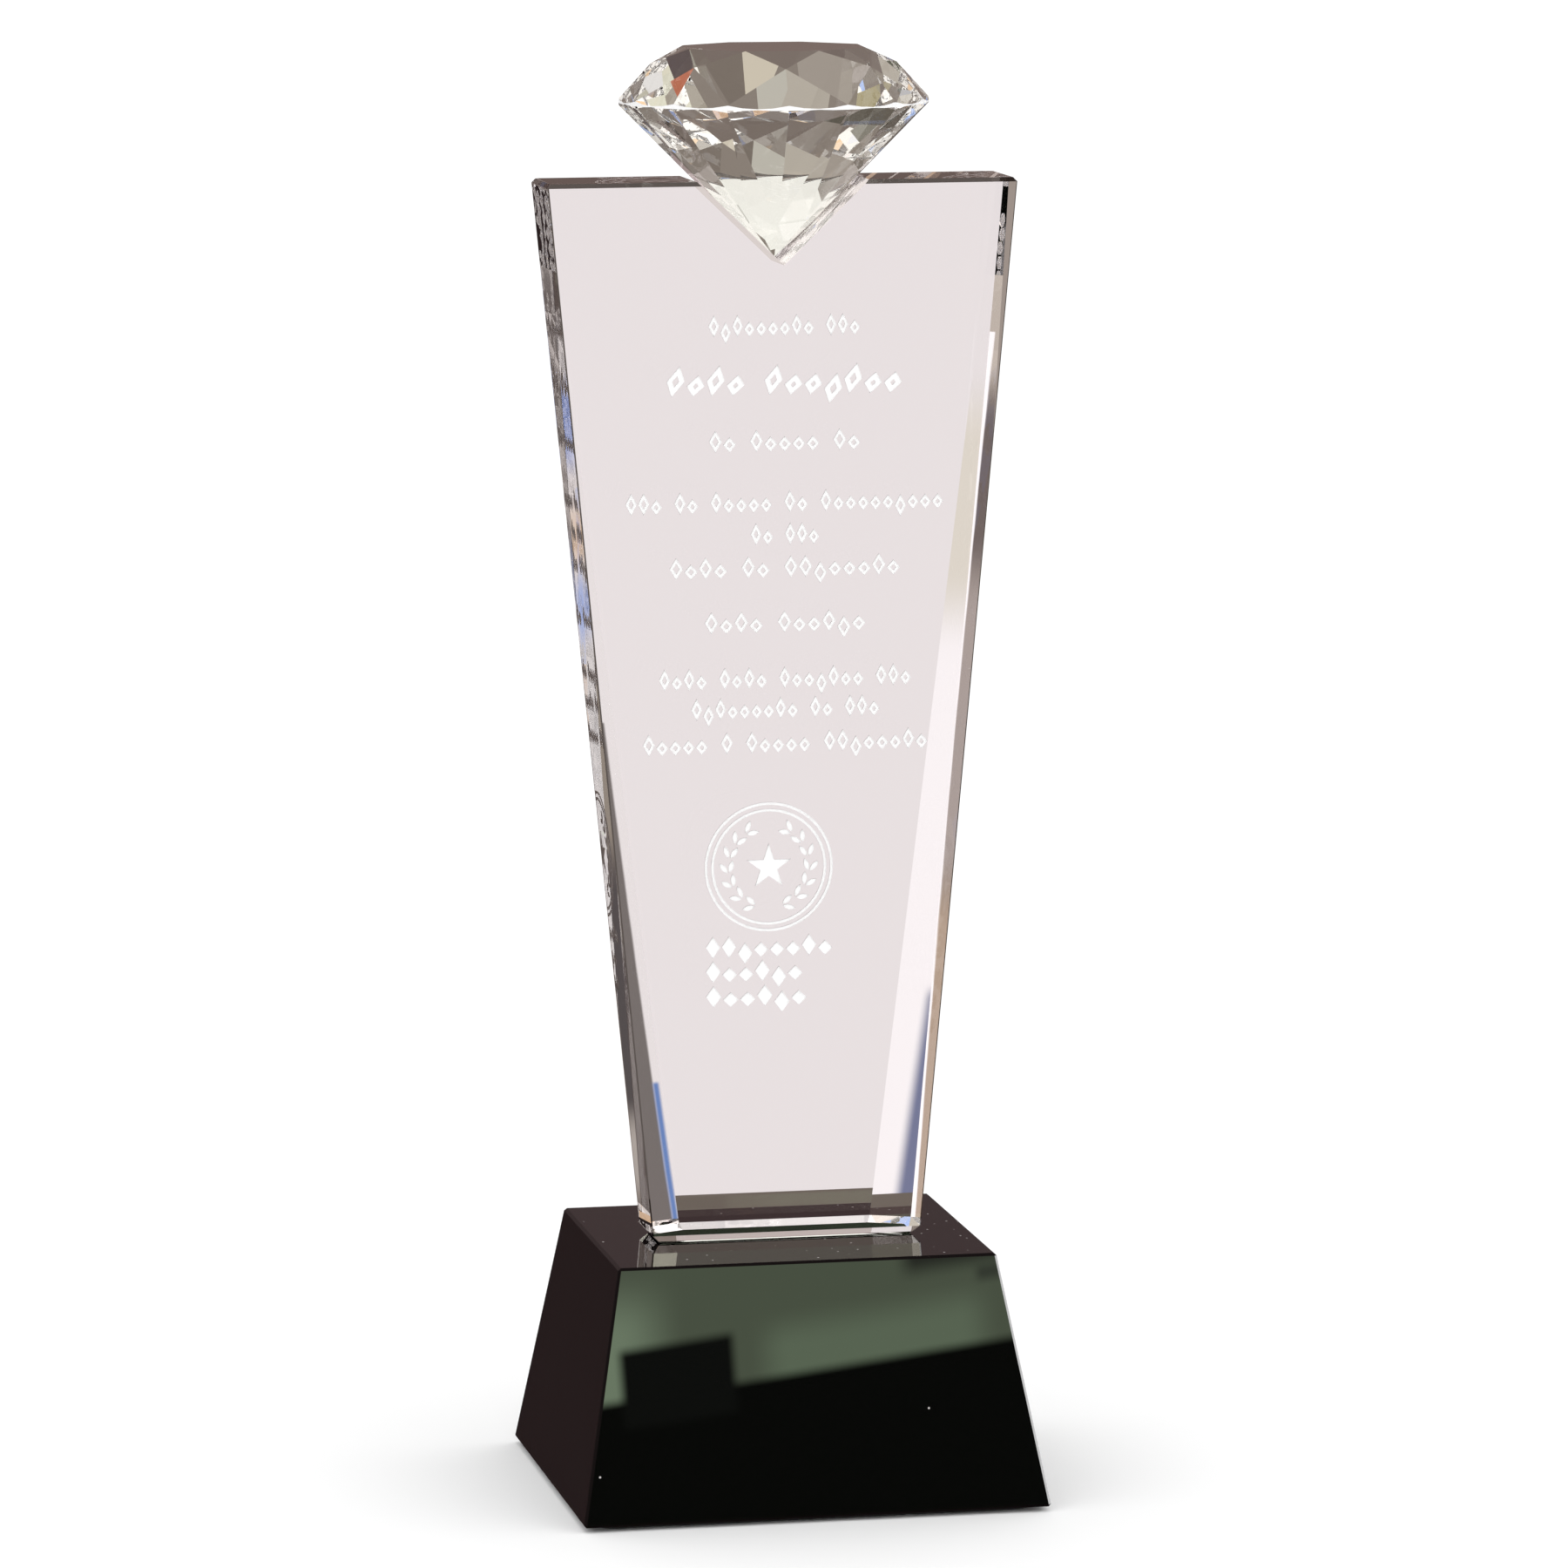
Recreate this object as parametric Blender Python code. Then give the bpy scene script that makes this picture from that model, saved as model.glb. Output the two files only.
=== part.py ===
"""Crystal award: a flared clear crystal tower on a black crystal base, with a round brilliant-cut
crystal diamond seated in a 90 degree notch in the tower's top.

Metres, +Z up. The origin is the centre of the face that the award stands on, and the front faces -Y.
"""

import math

import bmesh
import bpy
from mathutils import Vector

MM = 0.001

# ---- driving dimensions ------------------------------------------------------------------------
# The base: a black four-sided frustum on a thin felt pad.
PAD_THICKNESS = 0.8 * MM
PAD_INSET = 3.0 * MM
PAD_CORNER_RADIUS = 4.0 * MM
BASE_BOTTOM = (92.0 * MM, 83.0 * MM)
BASE_TOP = (74.4 * MM, 63.0 * MM)
BASE_TOP_Z = 49.4 * MM
BASE_CHAMFER = 0.5 * MM

# The tower: a slab that widens upwards, with a facet ground along each back edge.
TOWER_THICKNESS = 20.0 * MM
TOWER_BOTTOM_WIDTH = 53.2 * MM
TOWER_TOP_WIDTH = 92.2 * MM
TOWER_TOP_Z = 256.5 * MM
FACET_WIDTH_BOTTOM = 7.6 * MM
FACET_WIDTH_TOP = 1.2 * MM
FACET_DEPTH_RATIO = 0.72
TOWER_TOP_CHAMFER = 0.8 * MM
TOWER_SIDE_CHAMFER = 0.25 * MM
TOWER_FOOT_CHAMFER = 1.3 * MM
NOTCH_ANGLE = math.radians(44.0)

# The diamond: a standard 60 mm round brilliant, with its point down. It is turned so that a star
# facet and not a main facet looks forwards, a few degrees to the left.
DIAMOND_RADIUS = 30.0 * MM
DIAMOND_TURN = math.radians(17.0)
TABLE_RADIUS = 18.4 * MM
TABLE_Z = 281.8 * MM
CROWN_HEIGHT = 9.7 * MM
GIRDLE_THICKNESS = 1.4 * MM
PAVILION_ANGLE = math.radians(44.6)
STAR_LENGTH = 0.53
LOWER_FACET_LENGTH = 0.75
GIRDLE_SIDES = 64
FOLD = 8

# Clear adhesive fills each joint, and every two neighbours keep a hairline of air between them.
HAIRLINE = 0.1 * MM
FILM_THICKNESS = 0.2 * MM
FILM_INSET = 1.6 * MM
GLUE_THICKNESS = 0.15 * MM
GLUE_START = 4.0 * MM
GLUE_END = 21.0 * MM
GLUE_HALF_WIDTH = 2.4 * MM

# ---- worked out from the driving dimensions ------------------------------------------------------
BASE_BOTTOM_Z = PAD_THICKNESS + HAIRLINE
TOWER_BOTTOM_Z = BASE_TOP_Z + FILM_THICKNESS + 2 * HAIRLINE
GIRDLE_TOP_Z = TABLE_Z - CROWN_HEIGHT
GIRDLE_BOTTOM_Z = GIRDLE_TOP_Z - GIRDLE_THICKNESS
CULET_Z = GIRDLE_BOTTOM_Z - DIAMOND_RADIUS * math.tan(PAVILION_ANGLE)
HALF_STEP = math.pi / FOLD
QUARTER_STEP = HALF_STEP / 2

# The diamond's lower girdle facets meet its main facets in eight corners, and it is on two of
# these, one at each side, that it rests in the notch. They lie a few degrees off the X axis.
REST_RADIUS = DIAMOND_RADIUS * (1 - LOWER_FACET_LENGTH)
REST_Z = CULET_Z + REST_RADIUS * math.cos(HALF_STEP) * math.tan(PAVILION_ANGLE)
REST_TURN = DIAMOND_TURN - HALF_STEP
SEAT_GAP = GLUE_THICKNESS + 2 * HAIRLINE
NOTCH_Z = (
    REST_Z
    - REST_RADIUS * math.cos(REST_TURN) * math.tan(NOTCH_ANGLE)
    - SEAT_GAP / math.cos(NOTCH_ANGLE)
)
NOTCH_HALF_WIDTH = (TOWER_TOP_Z - NOTCH_Z) / math.tan(NOTCH_ANGLE)


def remove_everything():
    for old in list(bpy.data.objects):
        bpy.data.objects.remove(old, do_unlink=True)


def material(name, colour, roughness, transmission=0.0, ior=1.52):
    mat = bpy.data.materials.new(name)
    mat.use_nodes = True
    shader = mat.node_tree.nodes["Principled BSDF"]
    shader.inputs["Base Color"].default_value = (*colour, 1.0)
    shader.inputs["Roughness"].default_value = roughness
    shader.inputs["Metallic"].default_value = 0.0
    shader.inputs["Transmission Weight"].default_value = transmission
    shader.inputs["IOR"].default_value = ior
    mat.diffuse_color = (*colour, 1.0)
    return mat


def add_object(name, mesh_builder, mat):
    """Turns a filled bmesh into a named object at the world origin."""
    bmesh.ops.recalc_face_normals(mesh_builder, faces=mesh_builder.faces)
    mesh = bpy.data.meshes.new(name)
    mesh_builder.to_mesh(mesh)
    mesh_builder.free()
    mesh.materials.append(mat)
    obj = bpy.data.objects.new(name, mesh)
    bpy.context.collection.objects.link(obj)
    return obj


def loft(builder, lower, upper):
    """Closes two rings of points, with as many points in each, into a solid."""
    low = [builder.verts.new(point) for point in lower]
    high = [builder.verts.new(point) for point in upper]
    builder.faces.new(list(reversed(low)))
    builder.faces.new(high)
    for i in range(len(low)):
        j = (i + 1) % len(low)
        builder.faces.new([low[i], low[j], high[j], high[i]])


def rectangle(size, z):
    half_x = size[0] / 2
    half_y = size[1] / 2
    return [(-half_x, -half_y, z), (half_x, -half_y, z), (half_x, half_y, z), (-half_x, half_y, z)]


def chamfer_modifier(obj, width):
    """One flat cut on each edge that carries a bevel weight, the weight scaling its width."""
    bevel = obj.modifiers.new("chamfer", "BEVEL")
    bevel.width = width
    bevel.segments = 1
    bevel.limit_method = "WEIGHT"
    bevel.use_clamp_overlap = False
    return bevel


# ---- the base ------------------------------------------------------------------------------------
def rounded_rectangle(size, radius, z, steps=6):
    """Points round a rectangle with round corners, anticlockwise from above."""
    centres = [(1, 1), (-1, 1), (-1, -1), (1, -1)]
    points = []
    for corner, (sign_x, sign_y) in enumerate(centres):
        centre_x = sign_x * (size[0] / 2 - radius)
        centre_y = sign_y * (size[1] / 2 - radius)
        for step in range(steps + 1):
            angle = math.pi / 2 * (corner + step / steps)
            points.append((centre_x + radius * math.cos(angle), centre_y + radius * math.sin(angle), z))
    return points


def make_felt_pad():
    size = [length - 2 * PAD_INSET for length in BASE_BOTTOM]
    builder = bmesh.new()
    bottom = rounded_rectangle(size, PAD_CORNER_RADIUS, 0.0)
    top = rounded_rectangle(size, PAD_CORNER_RADIUS, PAD_THICKNESS)
    loft(builder, bottom, top)
    return add_object("base_felt_pad", builder, material("black_felt", (0.02, 0.02, 0.02), 0.95))


def make_base_block():
    builder = bmesh.new()
    loft(builder, rectangle(BASE_BOTTOM, BASE_BOTTOM_Z), rectangle(BASE_TOP, BASE_TOP_Z))
    weights = builder.edges.layers.float.new("bevel_weight_edge")
    for edge in builder.edges:
        edge[weights] = 1.0
    block = add_object("base_block", builder, material("black_crystal", (0.01, 0.01, 0.01), 0.03))
    chamfer_modifier(block, BASE_CHAMFER)
    return block


# ---- the tower -----------------------------------------------------------------------------------
def tower_section(width, facet_width, z):
    """The slab seen from above at one height: six corners, anticlockwise from the front left."""
    half = width / 2
    front = -TOWER_THICKNESS / 2
    back = TOWER_THICKNESS / 2
    side_back = back - facet_width * FACET_DEPTH_RATIO
    return [
        Vector((-half, front, z)),
        Vector((half, front, z)),
        Vector((half, side_back, z)),
        Vector((half - facet_width, back, z)),
        Vector((-half + facet_width, back, z)),
        Vector((-half, side_back, z)),
    ]


def make_tower():
    builder = bmesh.new()
    new = builder.verts.new
    low = [new(p) for p in tower_section(TOWER_BOTTOM_WIDTH, FACET_WIDTH_BOTTOM, TOWER_BOTTOM_Z)]
    high = [new(p) for p in tower_section(TOWER_TOP_WIDTH, FACET_WIDTH_TOP, TOWER_TOP_Z)]

    front = -TOWER_THICKNESS / 2
    back = TOWER_THICKNESS / 2
    notch = {}
    for side, y in (("front", front), ("back", back)):
        notch[side, "left"] = new((-NOTCH_HALF_WIDTH, y, TOWER_TOP_Z))
        notch[side, "point"] = new((0.0, y, NOTCH_Z))
        notch[side, "right"] = new((NOTCH_HALF_WIDTH, y, TOWER_TOP_Z))

    front_notch = [notch["front", "right"], notch["front", "point"], notch["front", "left"]]
    back_notch = [notch["back", "left"], notch["back", "point"], notch["back", "right"]]
    builder.faces.new(low)
    builder.faces.new([low[0], low[1], high[1], *front_notch, high[0]])
    builder.faces.new([low[3], low[4], high[4], *back_notch, high[3]])
    builder.faces.new([high[0], notch["front", "left"], notch["back", "left"], high[4], high[5]])
    builder.faces.new([high[1], high[2], high[3], notch["back", "right"], notch["front", "right"]])
    for side in ("left", "right"):
        builder.faces.new([
            notch["front", side],
            notch["front", "point"],
            notch["back", "point"],
            notch["back", side],
        ])
    for i, j in ((1, 2), (2, 3), (4, 5), (5, 0)):
        builder.faces.new([low[i], low[j], high[j], high[i]])

    # Both edges of each ground facet and the notch's edges stay sharp; the foot has the widest cut.
    sharp = [{low[i], high[i]} for i in (2, 3, 4, 5)]
    notch_edges = set(notch.values())
    foot = set(low)
    crown = set(high) | notch_edges
    points = {notch["front", "point"], notch["back", "point"]}
    weights = builder.edges.layers.float.new("bevel_weight_edge")
    for edge in builder.edges:
        ends = set(edge.verts)
        if ends in sharp or ends <= notch_edges or ends & points:
            edge[weights] = 0.0
        elif ends <= foot:
            edge[weights] = 1.0
        elif ends <= crown:
            edge[weights] = TOWER_TOP_CHAMFER / TOWER_FOOT_CHAMFER
        else:
            edge[weights] = TOWER_SIDE_CHAMFER / TOWER_FOOT_CHAMFER
    clear = material("clear_crystal", (0.95, 0.94, 0.94), 0.0, transmission=1.0)
    tower = add_object("tower_slab", builder, clear)
    chamfer_modifier(tower, TOWER_FOOT_CHAMFER)
    return tower


def make_tower_film():
    """The clear adhesive under the tower's foot, inside the foot's chamfer."""
    builder = bmesh.new()
    bottom_z = BASE_TOP_Z + HAIRLINE
    outline = tower_section(TOWER_BOTTOM_WIDTH, FACET_WIDTH_BOTTOM, bottom_z)
    shrink_x = 1 - 2 * FILM_INSET / TOWER_BOTTOM_WIDTH
    shrink_y = 1 - 2 * FILM_INSET / TOWER_THICKNESS
    bottom = [Vector((p.x * shrink_x, p.y * shrink_y, bottom_z)) for p in outline]
    top = [point + Vector((0, 0, FILM_THICKNESS)) for point in bottom]
    loft(builder, bottom, top)
    glue = material("clear_adhesive", (0.9, 0.9, 0.88), 0.05, transmission=1.0, ior=1.5)
    return add_object("tower_bond_film", builder, glue)


# ---- the diamond ---------------------------------------------------------------------------------
def grind(builder, azimuth, inner, outer):
    """Cuts one flat facet: the plane that faces the azimuth and runs through two (radius, z) points."""
    run = outer[0] - inner[0]
    rise = outer[1] - inner[1]
    up = 1.0 if inner[1] > outer[1] else -1.0
    outward = Vector((-rise * up, 0.0, run * up))
    normal = Vector((
        outward.x * math.cos(azimuth),
        outward.x * math.sin(azimuth),
        outward.z,
    )).normalized()
    point = (outer[0] * math.cos(azimuth), outer[0] * math.sin(azimuth), outer[1])
    geometry = list(builder.verts) + list(builder.edges) + list(builder.faces)
    cut = bmesh.ops.bisect_plane(
        builder, geom=geometry, dist=1e-7, plane_co=point, plane_no=normal, clear_outer=True)
    rim = [item for item in cut["geom_cut"] if isinstance(item, bmesh.types.BMEdge)]
    if rim:
        bmesh.ops.edgeloop_fill(builder, edges=rim)


def make_diamond():
    """A round blank, ground flat facet by facet: 33 on the crown and 24 on the pavilion."""
    builder = bmesh.new()
    ring = [math.tau * i / GIRDLE_SIDES for i in range(GIRDLE_SIDES)]
    circle = [(DIAMOND_RADIUS * math.cos(a), DIAMOND_RADIUS * math.sin(a)) for a in ring]
    blank_bottom_z = CULET_Z - FILM_INSET
    loft(builder, [(x, y, blank_bottom_z) for x, y in circle], [(x, y, TABLE_Z) for x, y in circle])

    table_edge = TABLE_RADIUS * math.cos(HALF_STEP)
    star_radius = table_edge + STAR_LENGTH * (DIAMOND_RADIUS - table_edge)
    crown_slope = CROWN_HEIGHT / (DIAMOND_RADIUS - TABLE_RADIUS)
    star_z = TABLE_Z - (star_radius * math.cos(HALF_STEP) - TABLE_RADIUS) * crown_slope
    chord = math.cos(QUARTER_STEP)

    for i in range(FOLD):
        main = DIAMOND_TURN + i * 2 * HALF_STEP
        grind(builder, main, (TABLE_RADIUS, TABLE_Z), (DIAMOND_RADIUS, GIRDLE_TOP_Z))
        grind(builder, main, (0.0, CULET_Z), (DIAMOND_RADIUS, GIRDLE_BOTTOM_Z))
        grind(builder, main + HALF_STEP, (table_edge, TABLE_Z), (star_radius, star_z))
    for i in range(2 * FOLD):
        half = DIAMOND_TURN + (i + 0.5) * HALF_STEP
        rim = DIAMOND_RADIUS * chord
        grind(builder, half, (star_radius * chord, star_z), (rim, GIRDLE_TOP_Z))
        grind(builder, half, (REST_RADIUS * chord, REST_Z), (rim, GIRDLE_BOTTOM_Z))
    bmesh.ops.remove_doubles(builder, verts=builder.verts, dist=1e-6)
    bmesh.ops.dissolve_limit(
        builder, angle_limit=math.radians(0.05), verts=builder.verts, edges=builder.edges)
    cut_crystal = material("cut_crystal", (0.97, 0.96, 0.95), 0.0, transmission=1.0, ior=1.55)
    return add_object("diamond", builder, cut_crystal)


def make_diamond_bond(name, side):
    """The adhesive between one notch wall and the diamond's ridge that runs up beside it.

    The strip lies on the wall, under the ridge, and narrows towards the notch's root.
    side is -1 for the left wall and +1 for the right one.
    """
    along = Vector((side * math.cos(NOTCH_ANGLE), 0.0, math.sin(NOTCH_ANGLE)))
    normal = Vector((-side * math.sin(NOTCH_ANGLE), 0.0, math.cos(NOTCH_ANGLE)))
    root = Vector((0.0, 0.0, NOTCH_Z))
    drift = side * math.tan(REST_TURN) * math.cos(NOTCH_ANGLE)
    rest_at = REST_RADIUS / math.cos(NOTCH_ANGLE)
    stations = [
        (GLUE_START, GLUE_HALF_WIDTH / 3),
        (rest_at, GLUE_HALF_WIDTH),
        (GLUE_END, GLUE_HALF_WIDTH),
    ]
    outline = [(distance, drift * distance - half) for distance, half in stations]
    outline += [(distance, drift * distance + half) for distance, half in reversed(stations)]

    def sheet(height):
        return [root + along * d + Vector((0, y, 0)) + normal * height for d, y in outline]

    builder = bmesh.new()
    loft(builder, sheet(HAIRLINE), sheet(HAIRLINE + GLUE_THICKNESS))
    glue = material(f"{name}_adhesive", (0.9, 0.9, 0.88), 0.05, transmission=1.0, ior=1.5)
    return add_object(name, builder, glue)


def main():
    remove_everything()
    make_felt_pad()
    make_base_block()
    make_tower_film()
    make_tower()
    make_diamond_bond("diamond_bond_left", -1)
    make_diamond_bond("diamond_bond_right", 1)
    make_diamond()


main()
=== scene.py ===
"""Looks for the crystal award: cut and engraved crystal, a black crystal base and studio light.

Metres, +Z up. The award's front faces -Y, and the camera stands in front of it and to its left.
"""

import math

import bmesh
import bpy
from mathutils import Matrix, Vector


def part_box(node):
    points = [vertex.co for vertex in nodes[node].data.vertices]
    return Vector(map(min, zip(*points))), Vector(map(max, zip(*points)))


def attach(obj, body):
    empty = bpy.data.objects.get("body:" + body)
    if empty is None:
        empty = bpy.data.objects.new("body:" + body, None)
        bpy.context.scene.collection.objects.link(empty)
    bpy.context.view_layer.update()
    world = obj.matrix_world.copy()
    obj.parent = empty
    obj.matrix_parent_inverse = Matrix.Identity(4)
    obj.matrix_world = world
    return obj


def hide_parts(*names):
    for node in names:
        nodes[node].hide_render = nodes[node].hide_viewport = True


MM = 0.001

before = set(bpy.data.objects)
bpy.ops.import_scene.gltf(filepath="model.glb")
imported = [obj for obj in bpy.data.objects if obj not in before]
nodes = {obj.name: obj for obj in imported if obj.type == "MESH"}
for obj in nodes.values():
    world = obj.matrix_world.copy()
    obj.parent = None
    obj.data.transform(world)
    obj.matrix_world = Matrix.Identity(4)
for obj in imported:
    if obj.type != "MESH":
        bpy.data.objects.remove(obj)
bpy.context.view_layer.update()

# ---- camera ------------------------------------------------------------------------------------
CAMERA_PLACE = (-0.3084, -1.578, 0.3663)
CAMERA_HEADING = 11.115
CAMERA_TILT = 8.079
CAMERA_ROLL = -0.17
CAMERA_LENS = 190.87
CAMERA_SENSOR = 36.0
CAMERA_NEAR = 0.05
CAMERA_FAR = 40.0

# ---- finishes ----------------------------------------------------------------------------------
CRYSTAL_IOR = 1.52
CUT_IOR = 1.56
ADHESIVE_IOR = 1.5

# How far each surface is from smooth: waves left by polishing or setting, grains and fibres.
SLAB_WAVINESS = 0.0002 * MM
CUT_WAVINESS = 0.0003 * MM
ADHESIVE_WAVINESS = 0.002 * MM
BLACK_WAVINESS = 0.001 * MM
FROST_GRAIN = 0.03 * MM
FELT_PILE = 0.15 * MM

CRYSTAL_TINT = (0.935, 0.875, 0.885)
CUT_TINT = (0.97, 0.955, 0.93)
ADHESIVE_TINT = (0.95, 0.95, 0.93)
# The arris tint is near black: painted shade, dark lines drawn on the slab's narrow edge faces where
# the crystal's edges look dark.
ARRIS_PAINTED_SHADE = (0.014, 0.011, 0.009)
BLACK_TINT = (0.0015, 0.0013, 0.0013)
DUST_TINT = (0.75, 0.72, 0.7)
BONDED_GREY = (0.012, 0.01, 0.01)

# Faces narrower than this are arrises; the band is the unpolished top of the diamond's girdle.
ARRIS_WIDTH = 1.3 * MM
GIRDLE_BAND = 0.95 * MM

# Dust: places for specks per metre, how far a speck reaches from its place before it has faded, and
# the share of the places that stay clean on upright and on level faces.
DUST_PLACES = 400.0
SPECK_CORE = 0.05
SPECK_EDGE = 0.12
CLEAN_UPRIGHT = 0.985
CLEAN_LEVEL = 0.6

# ---- engraving ---------------------------------------------------------------------------------
ENGRAVING_DEPTH = 0.3 * MM
MARK_STROKE = 0.56 * MM
MARK_GAP = 0.1
SMALL_MARK = 2.9 * MM
TALL_MARK = 1.45
WORD_SPACE = 0.9
SMALLEST_HOLE = 0.12
# Each row: height above the desk, width, mark size, slant, stroke, marks in each word.
ROWS = [
    (228.1 * MM, 30.0 * MM, 1.0, 0.0, 1.0, (9, 3)),
    (217.3 * MM, 46.6 * MM, 1.4, 0.28, 1.7, (4, 7)),
    (205.8 * MM, 30.0 * MM, 1.0, 0.0, 1.0, (2, 5, 2)),
    (194.0 * MM, 62.8 * MM, 1.0, 0.0, 1.0, (3, 2, 5, 2, 10)),
    (187.7 * MM, 13.7 * MM, 1.0, 0.0, 1.0, (2, 3)),
    (181.3 * MM, 45.7 * MM, 1.0, 0.0, 1.0, (4, 2, 8)),
    (170.6 * MM, 32.0 * MM, 1.0, 0.0, 1.0, (4, 6)),
    (159.7 * MM, 50.0 * MM, 1.0, 0.0, 1.0, (4, 4, 7, 3)),
    (153.8 * MM, 37.4 * MM, 1.0, 0.0, 1.0, (9, 2, 3)),
    (147.1 * MM, 56.5 * MM, 1.0, 0.0, 1.0, (5, 1, 5, 8)),
]
BOLD_ROWS = [
    (107.1 * MM, 25.4 * MM, 1.0, 0.0, 4.0, (8,)),
    (102.3 * MM, 19.5 * MM, 1.0, 0.0, 4.0, (6,)),
    (97.4 * MM, 20.3 * MM, 1.0, 0.0, 4.0, (6,)),
]
MEDAL_CENTRE = (-3.4 * MM, 123.3 * MM)
MEDAL_RADIUS = 12.7 * MM
RING_STEP = 1.3 * MM
RING_WIDTH = 0.55 * MM
STAR_RADIUS = 4.6 * MM
WREATH_RADIUS = 8.0 * MM
WREATH_START = -72.0
WREATH_STEP = 21.0
WREATH_PAIRS = 7
LEAF_LEANS = (0.55, -0.45)
LEAF_START = 0.35 * MM
LEAF_LENGTH = 2.5 * MM
LEAF_WIDTH = 1.0 * MM


# ---- small helpers -----------------------------------------------------------------------------
def link_object(name, mesh):
    obj = bpy.data.objects.new(name, mesh)
    bpy.context.collection.objects.link(obj)
    return obj


def copy_solid(node_name, name):
    """A new mesh with a CAD node's shape, its flat faces whole again and shaded flat."""
    solid = nodes[node_name].data
    builder = bmesh.new()
    corners = [builder.verts.new(vertex.co) for vertex in solid.vertices]
    for polygon in solid.polygons:
        builder.faces.new([corners[i] for i in polygon.vertices])
    bmesh.ops.remove_doubles(builder, verts=builder.verts, dist=1e-7)
    bmesh.ops.dissolve_limit(
        builder, angle_limit=math.radians(0.1), verts=builder.verts, edges=builder.edges)
    bmesh.ops.recalc_face_normals(builder, faces=builder.faces)
    mesh = bpy.data.meshes.new(name)
    builder.to_mesh(mesh)
    builder.free()
    return link_object(name, mesh)


def start_material(name):
    mat = bpy.data.materials.new(name)
    mat.use_nodes = True
    tree = mat.node_tree
    return mat, tree, tree.nodes["Principled BSDF"]


def add_node(tree, kind, **settings):
    node = tree.nodes.new(kind)
    for key, value in settings.items():
        setattr(node, key, value)
    return node


def noise(tree, scale, detail=2.0, roughness=0.5):
    """Noise over the object's own coordinates; scale is in features per metre."""
    place = add_node(tree, "ShaderNodeTexCoord")
    texture = add_node(tree, "ShaderNodeTexNoise")
    texture.inputs["Scale"].default_value = scale
    texture.inputs["Detail"].default_value = detail
    texture.inputs["Roughness"].default_value = roughness
    tree.links.new(place.outputs["Object"], texture.inputs["Vector"])
    return texture.outputs["Fac"]


def feed(tree, socket, value):
    """Set a colour socket to a plain colour, or link another node's output to it."""
    if isinstance(value, tuple):
        socket.default_value = (*value, 1.0)
    else:
        tree.links.new(value, socket)


def calculate(tree, operation, *values):
    """A Math node's result; each value is a number or another node's output."""
    node = add_node(tree, "ShaderNodeMath", operation=operation)
    for socket, value in zip(node.inputs, values):
        if isinstance(value, (int, float)):
            socket.default_value = value
        else:
            tree.links.new(value, socket)
    return node.outputs[0]


def mix_colour(tree, factor, first, second):
    """The first colour where the factor is 0, the second where it is 1."""
    node = add_node(tree, "ShaderNodeMix", data_type="RGBA")
    tree.links.new(factor, node.inputs["Factor"])
    feed(tree, node.inputs["A"], first)
    feed(tree, node.inputs["B"], second)
    return node.outputs["Result"]


def two_tone(tree, value, dark, light, start=0.0, end=1.0):
    """A ramp from the dark colour to the light one as the value goes from start to end."""
    ramp = add_node(tree, "ShaderNodeValToRGB")
    stops = ramp.color_ramp.elements
    stops[0].position = start
    stops[0].color = (*dark, 1.0)
    stops[1].position = end
    stops[1].color = (*light, 1.0)
    tree.links.new(value, ramp.inputs["Fac"])
    return ramp.outputs["Color"]


def remap(tree, value, from_low, from_high, to_low, to_high, smooth=False):
    mapper = add_node(tree, "ShaderNodeMapRange")
    mapper.interpolation_type = "SMOOTHSTEP" if smooth else "LINEAR"
    tree.links.new(value, mapper.inputs["Value"])
    mapper.inputs["From Min"].default_value = from_low
    mapper.inputs["From Max"].default_value = from_high
    mapper.inputs["To Min"].default_value = to_low
    mapper.inputs["To Max"].default_value = to_high
    return mapper.outputs["Result"]


def bump(tree, shader, height, distance, strength=1.0):
    relief = add_node(tree, "ShaderNodeBump")
    relief.inputs["Distance"].default_value = distance
    relief.inputs["Strength"].default_value = strength
    tree.links.new(height, relief.inputs["Height"])
    tree.links.new(relief.outputs["Normal"], shader.inputs["Normal"])


# ---- materials ---------------------------------------------------------------------------------
def clear_material(name, tint, ior, waviness):
    """Polished optical crystal; the noise is the faint unevenness that hand polishing leaves."""
    mat, tree, shader = start_material(name)
    feed(tree, shader.inputs["Base Color"], tint)
    shader.inputs["Roughness"].default_value = 0.0
    shader.inputs["IOR"].default_value = ior
    shader.inputs["Transmission Weight"].default_value = 1.0
    bump(tree, shader, noise(tree, 60.0, detail=1.0), waviness)
    return mat


def frosted_material(name):
    """Sandblasted or unpolished crystal: white, rough and slightly see-through."""
    mat, tree, shader = start_material(name)
    shader.inputs["IOR"].default_value = CRYSTAL_IOR
    shader.inputs["Transmission Weight"].default_value = 0.15
    grain = noise(tree, 4000.0, detail=3.0)
    tree.links.new(remap(tree, grain, 0.3, 0.7, 0.55, 0.8), shader.inputs["Roughness"])
    colour = two_tone(tree, grain, (0.9, 0.9, 0.9), (0.98, 0.98, 0.98), 0.25, 0.6)
    feed(tree, shader.inputs["Base Color"], colour)
    bump(tree, shader, grain, FROST_GRAIN, 0.6)
    return mat


def bonded_material():
    """The slab's foot: glued to the black base, it shows the base's black and reflects nothing."""
    mat, tree, shader = start_material("bonded_foot")
    shader.inputs["Roughness"].default_value = 0.6
    shader.inputs["Specular IOR Level"].default_value = 0.0
    colour = two_tone(tree, noise(tree, 120.0), BLACK_TINT, BONDED_GREY)
    feed(tree, shader.inputs["Base Color"], colour)
    return mat


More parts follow.
